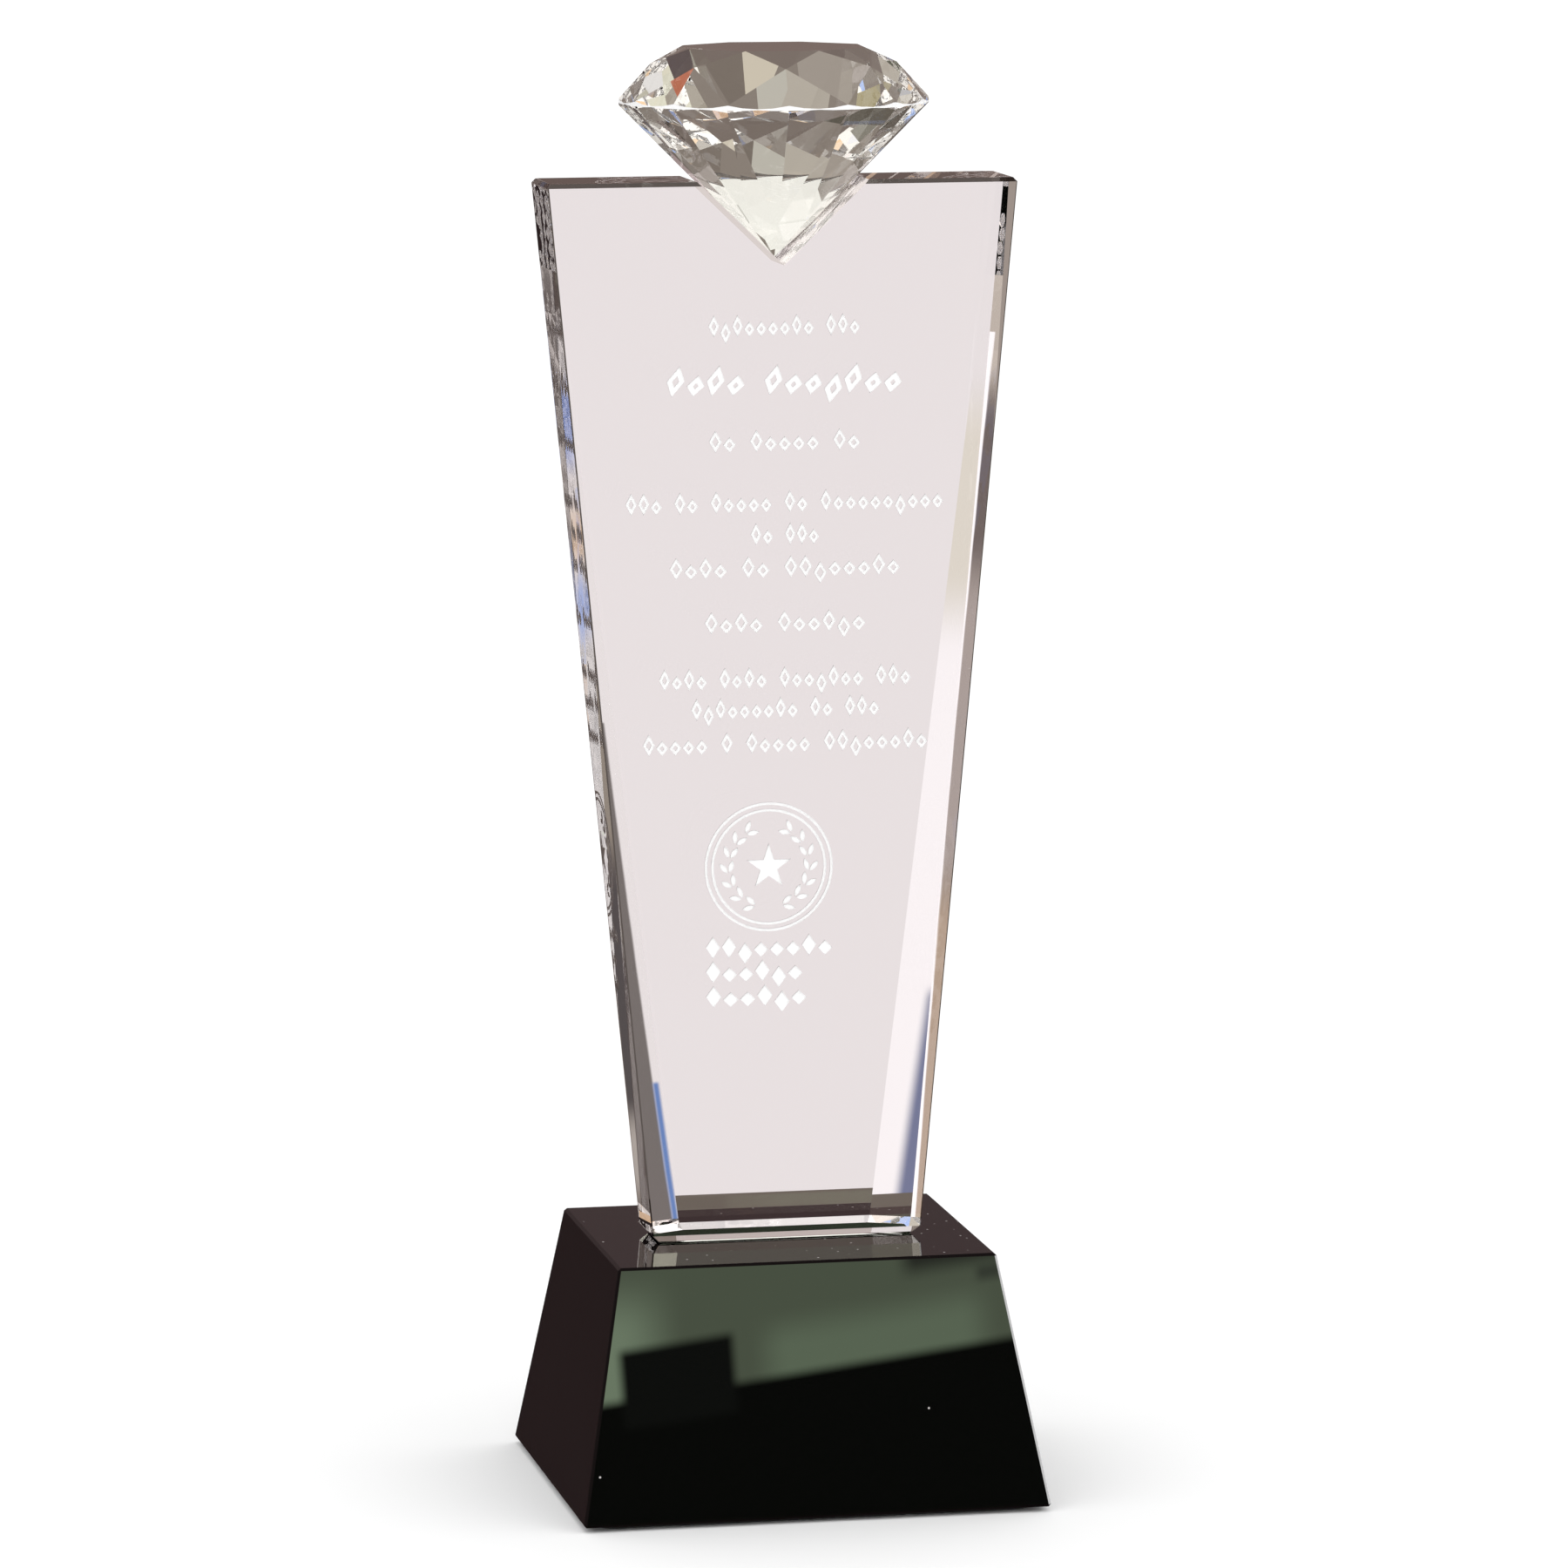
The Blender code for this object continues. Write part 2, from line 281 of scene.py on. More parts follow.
def black_material():
    """Opaque black crystal with a high polish; pale dust lies on it, most of it on the level top."""
    mat, tree, shader = start_material("black_crystal")
    shader.inputs["IOR"].default_value = CRYSTAL_IOR
    shader.inputs["Roughness"].default_value = 0.0
    bump(tree, shader, noise(tree, 35.0, detail=1.0), BLACK_WAVINESS)
    place = add_node(tree, "ShaderNodeTexCoord")
    cells = add_node(tree, "ShaderNodeTexVoronoi", feature="F1")
    cells.inputs["Scale"].default_value = DUST_PLACES
    tree.links.new(place.outputs["Object"], cells.inputs["Vector"])
    spot = remap(tree, cells.outputs["Distance"], SPECK_CORE, SPECK_EDGE, 1.0, 0.0)
    chosen = add_node(tree, "ShaderNodeSeparateColor")
    tree.links.new(cells.outputs["Color"], chosen.inputs["Color"])
    surface = add_node(tree, "ShaderNodeNewGeometry")
    facing = add_node(tree, "ShaderNodeSeparateXYZ")
    tree.links.new(surface.outputs["Normal"], facing.inputs["Vector"])
    clean = remap(tree, facing.outputs["Z"], 0.5, 0.9, CLEAN_UPRIGHT, CLEAN_LEVEL)
    dusty = calculate(tree, "GREATER_THAN", chosen.outputs["Red"], clean)
    speck = calculate(tree, "MULTIPLY", spot, dusty)
    feed(tree, shader.inputs["Base Color"], mix_colour(tree, speck, BLACK_TINT, DUST_TINT))
    return mat


def felt_material():
    """Short black pile."""
    mat, tree, shader = start_material("black_felt")
    shader.inputs["Roughness"].default_value = 0.95
    shader.inputs["Sheen Weight"].default_value = 0.3
    fibres = noise(tree, 5000.0, detail=6.0, roughness=0.7)
    colour = two_tone(tree, fibres, (0.006, 0.006, 0.006), (0.035, 0.033, 0.032))
    feed(tree, shader.inputs["Base Color"], colour)
    bump(tree, shader, fibres, FELT_PILE)
    return mat


def floor_material():
    """Pale paper, very slightly uneven in tone."""
    mat, tree, shader = start_material("pale_floor")
    shader.inputs["Roughness"].default_value = 0.8
    shader.inputs["Specular IOR Level"].default_value = 0.0
    colour = two_tone(tree, noise(tree, 3.0), (0.9, 0.9, 0.9), (0.93, 0.93, 0.93))
    feed(tree, shader.inputs["Base Color"], colour)
    return mat


# ---- engraving ---------------------------------------------------------------------------------
def prism(builder, outline, front_y, depth):
    """A straight cutter over a closed outline of (x, z) points, from in front of the face into it."""
    near = [builder.verts.new((x, front_y - depth, z)) for x, z in outline]
    far = [builder.verts.new((x, front_y + depth, z)) for x, z in outline]
    builder.faces.new(near)
    builder.faces.new(list(reversed(far)))
    for i in range(len(outline)):
        j = (i + 1) % len(outline)
        builder.faces.new([near[j], near[i], far[i], far[j]])


def frame_prism(builder, outer, inner, front_y, depth):
    """A cutter with a hole: the band between two outlines with as many points in each."""
    rings = []
    for outline in (outer, inner):
        for y in (front_y - depth, front_y + depth):
            rings.append([builder.verts.new((x, y, z)) for x, z in outline])
    outer_near, outer_far, inner_near, inner_far = rings
    count = len(outer)
    for i in range(count):
        j = (i + 1) % count
        builder.faces.new([outer_near[i], outer_near[j], inner_near[j], inner_near[i]])
        builder.faces.new([outer_far[j], outer_far[i], inner_far[i], inner_far[j]])
        builder.faces.new([outer_near[j], outer_near[i], outer_far[i], outer_far[j]])
        builder.faces.new([inner_near[i], inner_near[j], inner_far[j], inner_far[i]])


def lozenge(x, z, half_width, half_height, slant):
    """A lozenge's four corners round (x, z); the slant leans it to the right."""
    points = [(0, -half_height), (half_width, 0), (0, half_height), (-half_width, 0)]
    return [(x + px + slant * pz, z + pz) for px, pz in points]


def cut_mark(builder, x, z, half_width, half_height, slant, stroke, front_y):
    """One mark of a row: a lozenge outline, or a solid lozenge where its stroke would fill it."""
    outer = lozenge(x, z, half_width, half_height, slant)
    shrink = 1 - stroke * math.hypot(half_width, half_height) / (half_width * half_height)
    if shrink < SMALLEST_HOLE:
        prism(builder, outer, front_y, ENGRAVING_DEPTH)
        return
    inner = lozenge(x, z, half_width * shrink, half_height * shrink, slant)
    frame_prism(builder, outer, inner, front_y, ENGRAVING_DEPTH)


def cut_row(builder, row, front_y, left_edge=None):
    """Marks that stand for the words of an inscription; a fixed pattern has some reach higher or
    lower, as in a text."""
    z, width, size, slant, stroke, words = row
    pitch = width / (sum(words) + WORD_SPACE * (len(words) - 1))
    half_height = SMALL_MARK * size / 2
    x = (-width / 2 if left_edge is None else left_edge) + pitch / 2
    reach = half_height * (TALL_MARK - 1)
    for word in words:
        for place in range(word):
            rises = place == 0 or (place * word) % 5 == 3
            drops = not rises and (place + word) % 6 == 4
            lift = reach if rises else (-reach if drops else 0.0)
            cut_mark(
                builder, x, z + lift, pitch / 2 * (1 - MARK_GAP), half_height + abs(lift), slant,
                MARK_STROKE * stroke, front_y)
            x += pitch
        x += pitch * WORD_SPACE


def circle(centre, radius, count=72):
    """Points round a circle, closed by the last one's edge back to the first."""
    turns = [math.tau * i / count for i in range(count)]
    return [(centre[0] + radius * math.cos(a), centre[1] + radius * math.sin(a)) for a in turns]


def star(centre, radius, points=5, waist=0.382):
    """A star with one point upwards; the waist is its inner radius over its outer one."""
    outline = []
    for i in range(2 * points):
        reach = radius if i % 2 == 0 else radius * waist
        angle = math.pi / 2 + math.pi * i / points
        outline.append((centre[0] + reach * math.cos(angle), centre[1] + reach * math.sin(angle)))
    return outline


def leaf(base, angle, length, width, steps=6):
    """A pointed leaf that grows from its base along the angle."""
    outline = []
    for side in (1, -1):
        for step in range(steps):
            t = step / steps if side == 1 else 1 - step / steps
            across = side * width / 2 * math.sin(math.pi * t) ** 0.8
            along = length * t
            outline.append((
                base[0] + along * math.cos(angle) - across * math.sin(angle),
                base[1] + along * math.sin(angle) + across * math.cos(angle),
            ))
    return outline


def cut_medal(builder, front_y):
    """A plain round medallion: a double ring, a laurel wreath and a five-pointed star."""
    for reach in (MEDAL_RADIUS, MEDAL_RADIUS - RING_STEP):
        outer = circle(MEDAL_CENTRE, reach)
        inner = circle(MEDAL_CENTRE, reach - RING_WIDTH)
        frame_prism(builder, outer, inner, front_y, ENGRAVING_DEPTH)
    prism(builder, star(MEDAL_CENTRE, STAR_RADIUS), front_y, ENGRAVING_DEPTH)
    for side in (1, -1):
        for i in range(WREATH_PAIRS):
            turn = math.radians(WREATH_START + WREATH_STEP * i)
            stem_x = MEDAL_CENTRE[0] + side * WREATH_RADIUS * math.cos(turn)
            stem_z = MEDAL_CENTRE[1] + WREATH_RADIUS * math.sin(turn)
            for lean in LEAF_LEANS:
                heading = turn + math.pi / 2 - lean
                angle = heading if side == 1 else math.pi - heading
                start = (stem_x + LEAF_START * math.cos(angle), stem_z + LEAF_START * math.sin(angle))
                outline = leaf(start, angle, LEAF_LENGTH, LEAF_WIDTH)
                prism(builder, outline, front_y, ENGRAVING_DEPTH)


def make_cutter(front_y):
    """One mesh with every mark, which the slab's front face is cut with."""
    builder = bmesh.new()
    for row in ROWS:
        cut_row(builder, row, front_y)
    for row in BOLD_ROWS:
        cut_row(builder, row, front_y, left_edge=MEDAL_CENTRE[0] - MEDAL_RADIUS)
    cut_medal(builder, front_y)
    bmesh.ops.recalc_face_normals(builder, faces=builder.faces)
    mesh = bpy.data.meshes.new("engraving_cutter")
    builder.to_mesh(mesh)
    builder.free()
    return link_object("engraving_cutter", mesh)


# ---- pieces ------------------------------------------------------------------------------------
def face_width(mesh, face):
    """How wide a long narrow face is: its area over its longest edge."""
    corners = [mesh.vertices[i].co for i in face.vertices]
    edges = [(corners[i] - corners[i - 1]).length for i in range(len(corners))]
    return face.area / max(edges)


def make_tower():
    """The clear slab with its engraving cut in, its bonded foot, which shows the base's black, and
    its narrow edge faces tinted near black as painted shade, dark lines along its edges.
    """
    tower = copy_solid("tower_slab", "tower_crystal")
    clear = clear_material("clear_crystal", CRYSTAL_TINT, CRYSTAL_IOR, SLAB_WAVINESS)
    frosted = frosted_material("frosted_engraving")
    foot = bonded_material()
    # Painted shade: the narrow edge faces get a near-black tint, so the slab's edges show as dark
    # lines.
    painted_shade_arris = clear_material("crystal_arris_painted_shade", ARRIS_PAINTED_SHADE, CRYSTAL_IOR, SLAB_WAVINESS)
    slots = (clear, frosted, foot, painted_shade_arris)
    for finish in slots:
        tower.data.materials.append(finish)
    for face in tower.data.polygons:
        if face.normal.z < -0.99:
            face.material_index = slots.index(foot)
        elif face_width(tower.data, face) < ARRIS_WIDTH:
            face.material_index = slots.index(painted_shade_arris)

    cutter = make_cutter(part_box("tower_slab")[0].y)
    for finish in slots[:2]:
        cutter.data.materials.append(finish)
    for face in cutter.data.polygons:
        face.material_index = slots.index(frosted)
    cut = tower.modifiers.new("engraving", "BOOLEAN")
    cut.operation = "DIFFERENCE"
    cut.solver = "EXACT"
    cut.object = cutter
    with bpy.context.temp_override(object=tower, active_object=tower):
        bpy.ops.object.modifier_apply(modifier=cut.name)
    bpy.data.objects.remove(cutter, do_unlink=True)
    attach(tower, "root")
    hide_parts("tower_slab")


def frost_girdle(mesh):
    """Split the upright girdle faces near their top; the narrow band above is left unpolished."""
    def upright(face):
        return abs(face.normal.z) < 0.1

    builder = bmesh.new()
    builder.from_mesh(mesh)
    girdle = [face for face in builder.faces if upright(face)]
    top = max(vertex.co.z for face in girdle for vertex in face.verts)
    edges = {edge for face in girdle for edge in face.edges}
    corners = {vertex for face in girdle for vertex in face.verts}
    bmesh.ops.bisect_plane(
        builder, geom=list(corners) + list(edges) + girdle, dist=1e-7,
        plane_co=(0, 0, top - GIRDLE_BAND), plane_no=(0, 0, 1))
    builder.normal_update()
    for face in builder.faces:
        if upright(face) and face.calc_center_median().z > top - GIRDLE_BAND:
            face.material_index = 1
    builder.to_mesh(mesh)
    builder.free()


def make_diamond():
    """The brilliant, polished but for the frosted upper edge of its girdle."""
    diamond = copy_solid("diamond", "diamond_brilliant")
    diamond.data.materials.append(clear_material("cut_crystal", CUT_TINT, CUT_IOR, CUT_WAVINESS))
    diamond.data.materials.append(frosted_material("frosted_girdle"))
    frost_girdle(diamond.data)
    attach(diamond, "root")
    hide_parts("diamond")


def finish_kept_nodes():
    """The nodes whose CAD shape stays get their materials."""
    adhesive = clear_material("clear_adhesive", ADHESIVE_TINT, ADHESIVE_IOR, ADHESIVE_WAVINESS)
    finishes = {
        "base_felt_pad": felt_material(),
        "base_block": black_material(),
        "tower_bond_film": adhesive,
        "diamond_bond_left": adhesive,
        "diamond_bond_right": adhesive,
    }
    for name, finish in finishes.items():
        nodes[name].material_slots[0].material = finish


# ---- stage -------------------------------------------------------------------------------------
FLOOR_HALF = 14.0
FLOOR_DROP = 0.1 * MM
VEIL_ROOM = 4.0 * MM
VEIL_LIFT = 0.2 * MM
STRIP_WIDTH = 54.0 * MM
STRIP_BELOW = 2.0 * MM
STRIP_ABOVE = 1.4 * MM
STRIP_BACK = 0.9
STRIP_GLOW = (0.17, 0.15, 0.125)
BLACK = (0.0, 0.0, 0.0)


def flat_sheet(name, corners, finish):
    mesh = bpy.data.meshes.new(name)
    mesh.from_pydata(corners, [], [(0, 1, 2, 3)])
    mesh.materials.append(finish)
    return link_object(name, mesh)


def hide_from_outer_rays(obj):
    """Leaves an object for light that comes through the crystal, and for nothing else."""
    obj.visible_camera = False
    obj.visible_diffuse = False
    obj.visible_glossy = False
    obj.visible_shadow = False


def make_floor():
    half = FLOOR_HALF
    corners = [(-half, -half, 0), (half, -half, 0), (half, half, 0), (-half, half, 0)]
    floor = flat_sheet("floor", corners, floor_material())
    floor.location.z = -FLOOR_DROP
    floor.visible_glossy = False
    floor.visible_transmission = False


def make_diamond_veil():
    """A box of clear air around the diamond. Light that leaves the diamond is counted as it passes,
    so that the studio can show it a different room from the one behind the slab."""
    low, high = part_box("diamond")
    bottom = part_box("tower_slab")[1].z + VEIL_LIFT
    low = (low.x - VEIL_ROOM, low.y - VEIL_ROOM, bottom)
    high = (high.x + VEIL_ROOM, high.y + VEIL_ROOM, high.z + VEIL_ROOM)
    builder = bmesh.new()
    bmesh.ops.create_cube(builder, size=1.0)
    for vertex in builder.verts:
        for axis in range(3):
            vertex.co[axis] = high[axis] if vertex.co[axis] > 0 else low[axis]
    mesh = bpy.data.meshes.new("diamond_veil")
    builder.to_mesh(mesh)
    builder.free()
    mat = bpy.data.materials.new("clear_air")
    mat.use_nodes = True
    tree = mat.node_tree
    tree.nodes.remove(tree.nodes["Principled BSDF"])
    clear = add_node(tree, "ShaderNodeBsdfTransparent")
    tree.links.new(clear.outputs["BSDF"], tree.nodes["Material Output"].inputs["Surface"])
    mesh.materials.append(mat)
    veil = link_object("diamond_veil", mesh)
    hide_from_outer_rays(veil)


def make_foot_strip():
    """A low strip of grey card behind the base, which shows only through the slab's foot."""
    foot_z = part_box("tower_slab")[0].z
    back_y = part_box("base_block")[1].y * STRIP_BACK
    half = STRIP_WIDTH / 2
    bottom = foot_z - STRIP_BELOW
    top = foot_z + STRIP_ABOVE
    mat, tree, shader = start_material("grey_card")
    feed(tree, shader.inputs["Base Color"], BLACK)
    shader.inputs["Specular IOR Level"].default_value = 0.0
    feed(tree, shader.inputs["Emission Color"], STRIP_GLOW)
    shader.inputs["Emission Strength"].default_value = 1.0
    outline = [(-half, bottom), (half, bottom), (half, top), (-half, top)]
    corners = [(x, back_y, z) for x, z in outline]
    strip = flat_sheet("foot_strip", corners, mat)
    hide_from_outer_rays(strip)


def make_camera():
    data = bpy.data.cameras.new("camera")
    data.lens = CAMERA_LENS
    data.sensor_width = CAMERA_SENSOR
    data.clip_start = CAMERA_NEAR
    data.clip_end = CAMERA_FAR
    camera = link_object("camera", data)
    camera.location = CAMERA_PLACE
    heading = Matrix.Rotation(math.radians(-CAMERA_HEADING), 4, "Z")
    tilt = Matrix.Rotation(math.radians(90.0 - CAMERA_TILT), 4, "X")
    roll = Matrix.Rotation(math.radians(CAMERA_ROLL), 4, "Z")
    camera.rotation_euler = (heading @ tilt @ roll).to_euler()
    bpy.context.scene.camera = camera


# ---- studio ------------------------------------------------------------------------------------
# The studio is painted on the world by direction, as seen from the award: azimuth 0 is behind it
# (+Y), 90 to its right (+X), 180 in front. Each card is (azimuth, elevation, width, height,
# softness, colour), with its angles in degrees, and it covers the cards before it.
ALL_ROUND = 400.0
SOFT_LIGHT = (1.12, 1.12, 1.12)
SOFT_LIGHT_CARDS = [
    (180.0, 35.0, 150.0, 60.0, 20.0, (1.45, 1.45, 1.45)),
]
BACKDROP = (1.0, 1.0, 1.0)

# What the polished outer faces reflect: a dim warm room with a window in front and one at the right.
ROOM_SHADE = (0.145, 0.103, 0.103)
ROOM_CARDS = [
    (0.0, 3.5, ALL_ROUND, 9.0, 7.0, (0.2, 0.145, 0.13)),
    (0.0, -45.0, ALL_ROUND, 90.0, 1.5, (0.05, 0.032, 0.032)),
    (79.0, 15.0, 12.0, 44.0, 1.0, (7.0, 7.0, 7.0)),
]
# The front window: a pale sky over a dark skyline with one block. It is seen at a slant.
WINDOW_AZIMUTH = 169.0
WINDOW_SLANT = 0.083
WINDOW_CARDS = [
    (WINDOW_AZIMUTH, 31.0, 60.0, 42.0, 0.1, (1.45, 1.8, 1.2)),
    (168.3, 10.8, 1.5, 0.5, 0.3, (2.2, 2.9, 1.9)),
    (170.6, 10.9, 1.5, 1.0, 0.5, (3.2, 4.2, 2.8)),
    (167.6, 11.38, 0.9, 0.2, 0.18, (0.4, 0.45, 0.34)),
    (167.2, 11.2, 0.7, 0.1, 0.1, (0.75, 0.9, 0.65)),
    (WINDOW_AZIMUTH, 0.0, 60.0, 21.46, 0.1, (0.02, 0.03, 0.02)),
    (169.69, 10.8, 0.8, 0.54, 0.1, (0.06, 0.075, 0.06)),
]

# What shows straight through the slab: pale paper, brighter to the left of the award.
PAPER = (0.93, 0.92, 0.915)
PAPER_CARDS = [
    (-30.0, -45.0, 66.0, 82.0, 1.5, (1.12, 1.12, 1.12)),
    (-30.0, -3.5, 66.0, 1.4, 0.6, (0.84, 0.82, 0.72)),
    (11.0, 18.5, 16.0, 6.0, 1.0, (0.6, 0.55, 0.52)),
]

# What shows through the diamond and by a few reflections inside the slab: a brown-grey room with
# pale cards above and beside the award, and a lamp's glow behind it.
INSIDE_SHADE = (0.265, 0.23, 0.2)
INSIDE_CARDS = [
    (0.0, -60.0, ALL_ROUND, 80.0, 12.0, (0.2, 0.165, 0.145)),
    (34.0, -12.0, 26.0, 22.0, 3.0, (0.2, 0.17, 0.145)),
    (0.0, 76.0, ALL_ROUND, 34.0, 4.0, (1.0, 1.0, 0.94)),
    (112.0, 16.5, 30.0, 24.0, 1.0, (0.84, 0.83, 0.68)),
    (119.0, 30.0, 10.0, 5.0, 1.0, (0.4, 0.36, 0.3)),
    (109.0, 5.0, 16.0, 14.0, 0.5, (0.92, 0.91, 0.9)),
    (-108.0, 19.0, 26.0, 18.0, 1.0, (0.6, 0.56, 0.48)),
    (-95.0, 22.4, 7.0, 9.0, 1.0, (0.4, 0.35, 0.2)),
    (-105.0, 9.6, 12.0, 1.1, 0.5, (0.6, 0.55, 0.48)),
    (-105.0, 8.4, 12.0, 1.3, 0.5, (0.17, 0.14, 0.13)),
    (-105.0, 6.7, 12.0, 2.2, 0.6, (0.45, 0.4, 0.37)),
    (-105.0, 4.2, 12.0, 2.8, 0.6, (0.52, 0.41, 0.31)),
    (-105.1, 6.3, 0.27, 6.4, 0.01, (1.2, 1.2, 1.2)),
    (-12.0, -5.0, 26.0, 13.0, 2.0, (0.38, 0.34, 0.3)),
    (1.0, 0.0, 15.0, 8.0, 1.5, (0.5, 0.46, 0.4)),
    (11.0, -2.0, 7.5, 7.0, 1.5, (0.55, 0.53, 0.47)),
    (16.0, -9.2, 8.0, 5.0, 1.5, (0.67, 0.61, 0.5)),
    (4.7, -11.0, 1.8, 3.0, 0.4, (0.8, 0.77, 0.73)),
    (14.7, 0.2, 2.4, 2.8, 0.3, (0.09, 0.075, 0.07)),
    (11.0, 9.5, 20.0, 9.0, 1.0, (0.2, 0.165, 0.16)),
    (54.0, -11.0, 12.0, 8.0, 2.0, (0.1, 0.08, 0.08)),
    (50.0, 0.5, 3.5, 3.5, 0.5, (0.58, 0.18, 0.1)),
    (58.5, -0.2, 5.0, 1.4, 0.5, (0.5, 0.46, 0.38)),
    (58.5, -1.8, 5.0, 1.8, 0.5, (0.12, 0.12, 0.12)),
    (58.5, -2.9, 5.0, 0.5, 0.3, (0.75, 0.72, 0.65)),
    (-48.0, -36.0, 24.0, 26.0, 6.0, (0.11, 0.1, 0.08)),
    (76.0, 59.6, 8.0, 6.0, 1.0, (0.25, 0.24, 0.2)),
    (54.0, 12.3, 6.0, 5.0, 1.0, (0.6, 0.48, 0.48)),
    (169.5, 4.6, 8.0, 2.6, 0.4, (1.3, 1.28, 1.25)),
    (170.0, 5.15, 1.2, 0.6, 0.3, (0.6, 0.8, 1.45)),
    (169.4, 4.3, 0.8, 0.4, 0.3, (1.3, 1.0, 0.7)),
    (168.7, 3.75, 0.9, 0.4, 0.3, (0.7, 0.9, 1.45)),
    (167.5, 2.2, 8.0, 2.6, 0.5, (1.25, 1.27, 1.25)),
]

# Cards whose upright edges lean, by so many degrees of azimuth for each degree of elevation.
PAPER_LEAN = 0.28
PAPER_WEDGES = [
    (-7.2, -8.4, 1.0, 3.2, 0.12, (0.2, 0.23, 0.37)),
]
INSIDE_LEAN = 0.035
INSIDE_WEDGES = [
    (110.7, 2.9, 4.0, 3.7, 0.02, (0.2, 0.185, 0.175)),
    (108.68, 1.75, 0.04, 1.0, 0.03, (0.16, 0.28, 0.6)),
]

# What shows after many reflections inside the crystal: small bright and dark patches, a few of them
# tinted, as the room breaks up into glints. They are taller than they are wide.
GLINTS_ACROSS = 0.8
GLINTS_UP = 0.35
GLINT_CHOICES = [
    (0.0, (0.17, 0.14, 0.12)),
    (0.12, (0.5, 0.46, 0.41)),
    (0.28, (1.15, 1.12, 1.06)),
    (0.7, (0.5, 0.68, 1.15)),
    (0.77, (1.1, 0.8, 0.52)),
    (0.84, (1.5, 1.5, 1.5)),
]
GLINT_CARDS = [
    (10.0, 4.9, 5.0, 3.0, 0.6, (0.45, 0.42, 0.39)),
    (10.4, 4.0, 2.0, 0.5, 0.3, (0.4, 0.5, 0.75)),
    (-11.0, -6.0, 8.0, 7.0, 1.0, (0.8, 0.77, 0.75)),
]
BRIGHT_MIX = (1.2, 1.17, 1.12)

# How many surfaces light has met: more than these, and it has turned inside the crystal, or has
# turned there often, or so often that all directions mix.
STRAIGHT_THROUGH = 3.5
MANY_TURNS = 6.5
COUNTLESS_TURNS = 11.5
LIGHT_BOUNCES = 36

# A ray that has met more veils than this has come through the diamond.
NO_VEIL = 0.5


def within(tree, angle, centre, size, soft):
    """1 where the angle is inside the card and 0 outside it, fading over soft degrees at its edge."""
    turned = calculate(tree, "WRAP", calculate(tree, "SUBTRACT", angle, centre), 180.0, -180.0)
    away = calculate(tree, "ABSOLUTE", turned)
    return remap(tree, away, size / 2 - soft / 2, size / 2 + soft / 2, 1.0, 0.0, smooth=True)


def paint(tree, azimuth, elevation, colour, cards):
    """The colour with each card laid over it in turn."""
    for bearing, height, width, tall, soft, card_colour in cards:
        mask = within(tree, elevation, height, tall, soft)
        if width < ALL_ROUND:
            across = within(tree, azimuth, bearing, width, soft)
            mask = calculate(tree, "MULTIPLY", mask, across)
        colour = mix_colour(tree, mask, colour, card_colour)
    return colour


def glints(tree, azimuth, elevation):
    """Patches of constant colour, chosen at random from GLINT_CHOICES."""
    place = add_node(tree, "ShaderNodeCombineXYZ")
    tree.links.new(calculate(tree, "MULTIPLY", azimuth, GLINTS_ACROSS), place.inputs["X"])
    tree.links.new(calculate(tree, "MULTIPLY", elevation, GLINTS_UP), place.inputs["Y"])
    cells = add_node(tree, "ShaderNodeTexVoronoi", feature="F1")
    cells.inputs["Scale"].default_value = 1.0
    tree.links.new(place.outputs["Vector"], cells.inputs["Vector"])
    split = add_node(tree, "ShaderNodeSeparateColor")
    tree.links.new(cells.outputs["Color"], split.inputs["Color"])
    ramp = add_node(tree, "ShaderNodeValToRGB")
    ramp.color_ramp.interpolation = "CONSTANT"
    while len(ramp.color_ramp.elements) < len(GLINT_CHOICES):
        ramp.color_ramp.elements.new(1.0)
    for element, (position, colour) in zip(ramp.color_ramp.elements, GLINT_CHOICES):
        element.position = position
        element.color = (*colour, 1.0)
    tree.links.new(split.outputs["Red"], ramp.inputs["Fac"])
    return ramp.outputs["Color"]


def glow(tree, colour):
    """A background shader of the given colour."""
    node = add_node(tree, "ShaderNodeBackground")
    feed(tree, node.inputs["Color"], colour)
    return node.outputs["Background"]


def choose(tree, factor, first, second):
    """The second shader where the factor is 1, and the first where it is 0."""
    node = add_node(tree, "ShaderNodeMixShader")
    for socket, value in zip(node.inputs, (factor, first, second)):
        tree.links.new(value, socket)
    return node.outputs["Shader"]


def sky_direction(tree):
    """The azimuth and elevation, in degrees, that a ray leaves in."""
    place = add_node(tree, "ShaderNodeTexCoord")
    split = add_node(tree, "ShaderNodeSeparateXYZ")
    tree.links.new(place.outputs["Generated"], split.inputs["Vector"])
    east, north, up = (split.outputs[axis] for axis in "XYZ")
    azimuth = calculate(tree, "DEGREES", calculate(tree, "ARCTAN2", east, north))
    elevation = calculate(tree, "DEGREES", calculate(tree, "ARCSINE", up))
    return azimuth, elevation


def paint_room(tree, azimuth, elevation):
    """What the outer faces reflect."""
    from_window = calculate(tree, "SUBTRACT", azimuth, WINDOW_AZIMUTH)
    from_window = calculate(tree, "WRAP", from_window, 180.0, -180.0)
    slanted = calculate(tree, "MULTIPLY_ADD", from_window, WINDOW_SLANT, elevation)
    room = paint(tree, azimuth, elevation, ROOM_SHADE, ROOM_CARDS)
    return paint(tree, azimuth, slanted, room, WINDOW_CARDS)


def paint_leaning(tree, azimuth, elevation, colour, lean, wedges):
    """As paint, with cards whose upright edges lean."""
    leaning = calculate(tree, "MULTIPLY_ADD", elevation, -lean, azimuth)
    return paint(tree, leaning, elevation, colour, wedges)


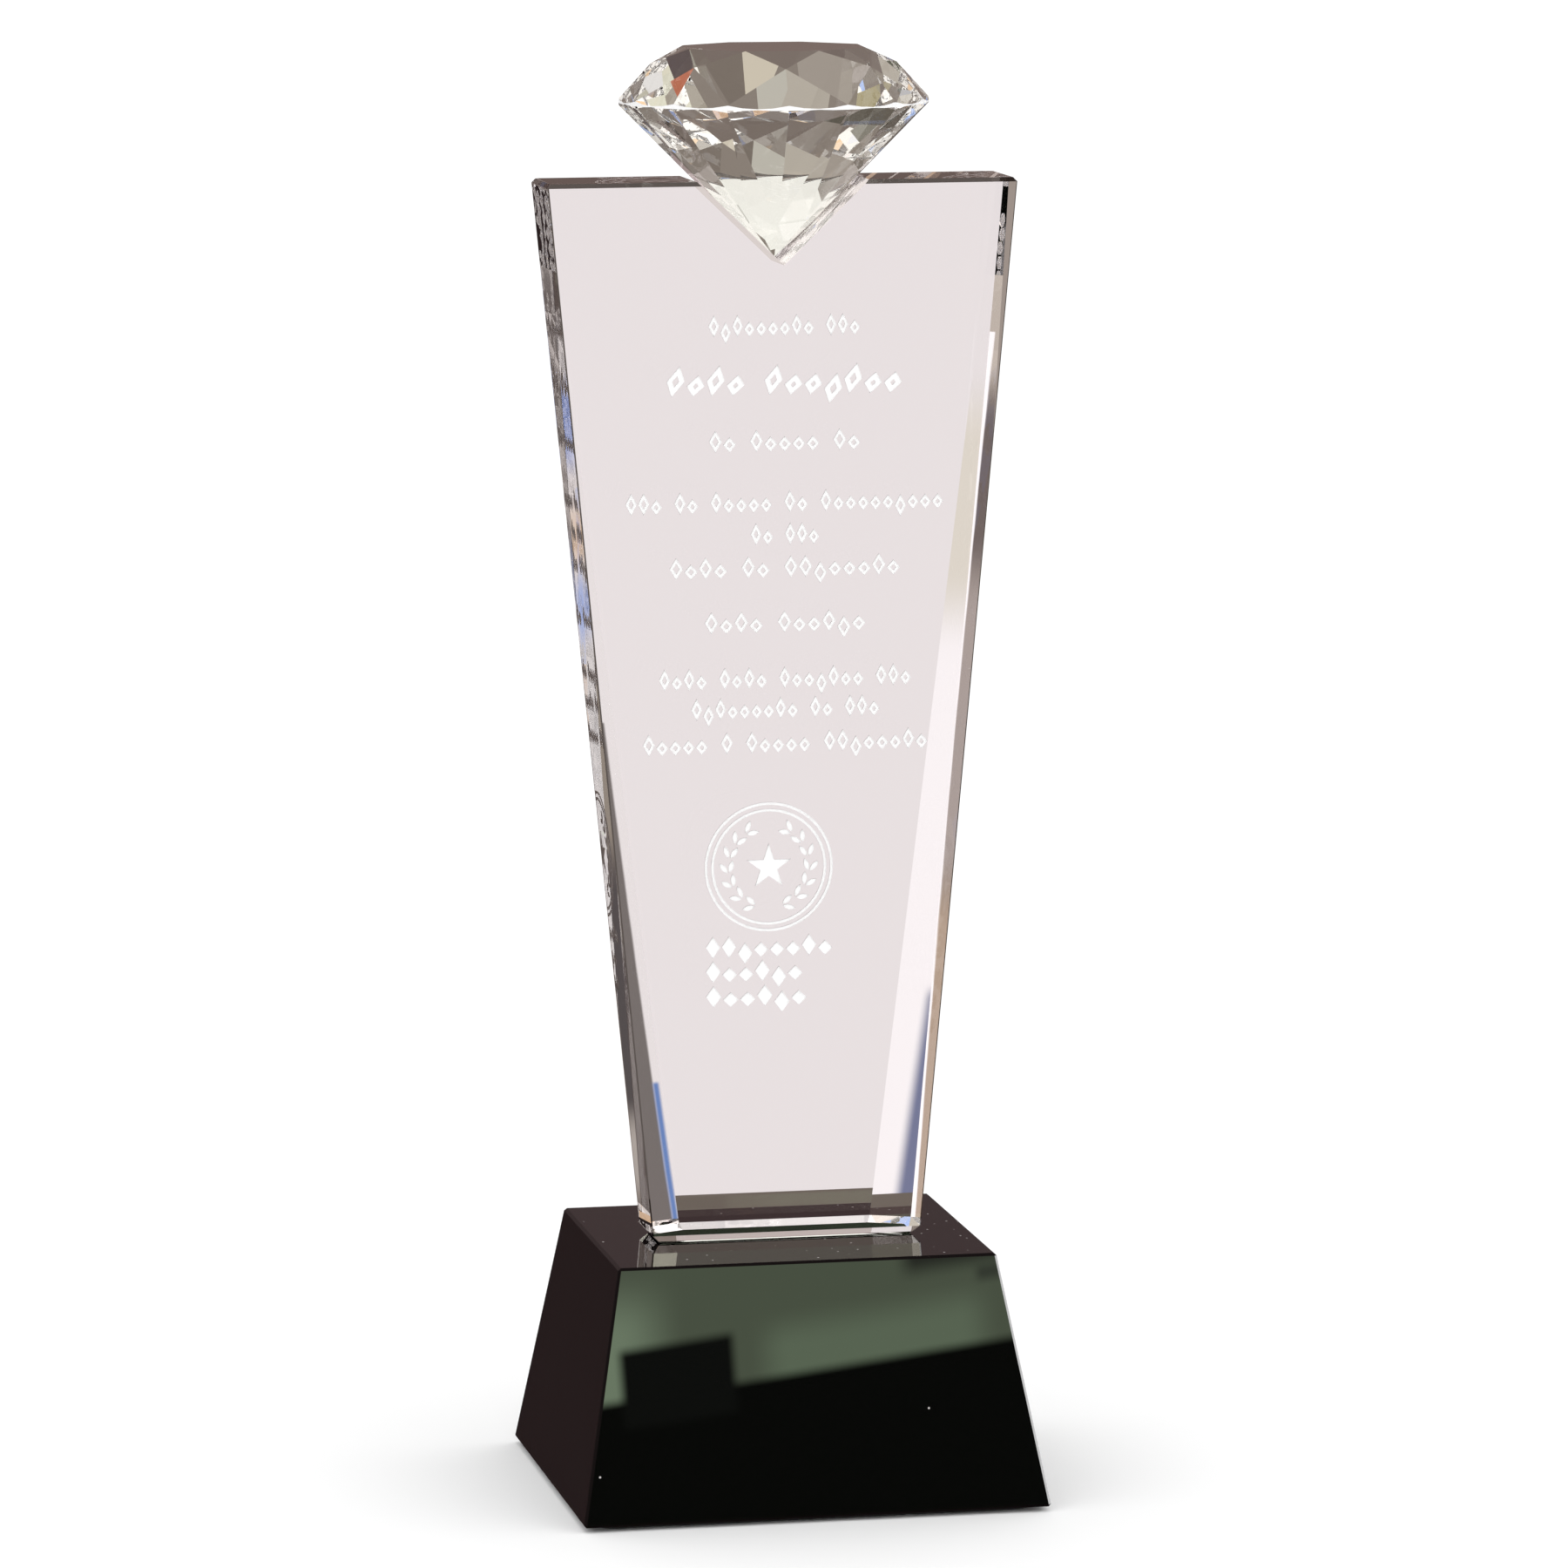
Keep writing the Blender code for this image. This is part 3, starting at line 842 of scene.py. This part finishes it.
def paint_crystal_view(tree, azimuth, elevation, path):
    """What shows through crystal, by how many surfaces the light has met on its way."""
    through = paint(tree, azimuth, elevation, PAPER, PAPER_CARDS)
    through = paint_leaning(tree, azimuth, elevation, through, PAPER_LEAN, PAPER_WEDGES)
    inside = paint(tree, azimuth, elevation, INSIDE_SHADE, INSIDE_CARDS)
    inside = paint_leaning(tree, azimuth, elevation, inside, INSIDE_LEAN, INSIDE_WEDGES)
    broken = paint(tree, azimuth, elevation, glints(tree, azimuth, elevation), GLINT_CARDS)
    met = path.outputs["Ray Depth"]
    turned = calculate(tree, "GREATER_THAN", met, STRAIGHT_THROUGH)
    past_diamond = calculate(tree, "GREATER_THAN", path.outputs["Transparent Depth"], NO_VEIL)
    turned = calculate(tree, "MAXIMUM", turned, past_diamond)
    turned_often = calculate(tree, "GREATER_THAN", met, MANY_TURNS)
    turned_endlessly = calculate(tree, "GREATER_THAN", met, COUNTLESS_TURNS)
    view = choose(tree, turned, glow(tree, through), glow(tree, inside))
    view = choose(tree, turned_often, view, glow(tree, broken))
    return choose(tree, turned_endlessly, view, glow(tree, BRIGHT_MIX))


def make_world():
    """Rough surfaces get soft light, polished ones reflect the room, and the camera sees white."""
    world = bpy.data.worlds.new("studio")
    bpy.context.scene.world = world
    world.use_nodes = True
    world.cycles.sampling_method = "NONE"
    tree = world.node_tree
    tree.nodes.remove(tree.nodes["Background"])
    azimuth, elevation = sky_direction(tree)
    path = add_node(tree, "ShaderNodeLightPath")
    soft_light = paint(tree, azimuth, elevation, SOFT_LIGHT, SOFT_LIGHT_CARDS)
    room = paint_room(tree, azimuth, elevation)
    crystal = paint_crystal_view(tree, azimuth, elevation, path)
    seen = choose(tree, path.outputs["Is Camera Ray"], glow(tree, soft_light), glow(tree, BACKDROP))
    seen = choose(tree, path.outputs["Is Glossy Ray"], seen, glow(tree, room))
    seen = choose(tree, path.outputs["Is Transmission Ray"], seen, crystal)
    tree.links.new(seen, tree.nodes["World Output"].inputs["Surface"])


def set_light_paths():
    """Crystal needs long paths: light turns many times inside the diamond before it leaves."""
    scene = bpy.context.scene
    scene.view_settings.view_transform = "Standard"
    scene.cycles.max_bounces = LIGHT_BOUNCES
    scene.cycles.glossy_bounces = LIGHT_BOUNCES
    scene.cycles.transmission_bounces = LIGHT_BOUNCES


make_camera()
make_tower()
make_diamond()
finish_kept_nodes()
make_floor()
make_diamond_veil()
make_foot_strip()
make_world()
set_light_paths()
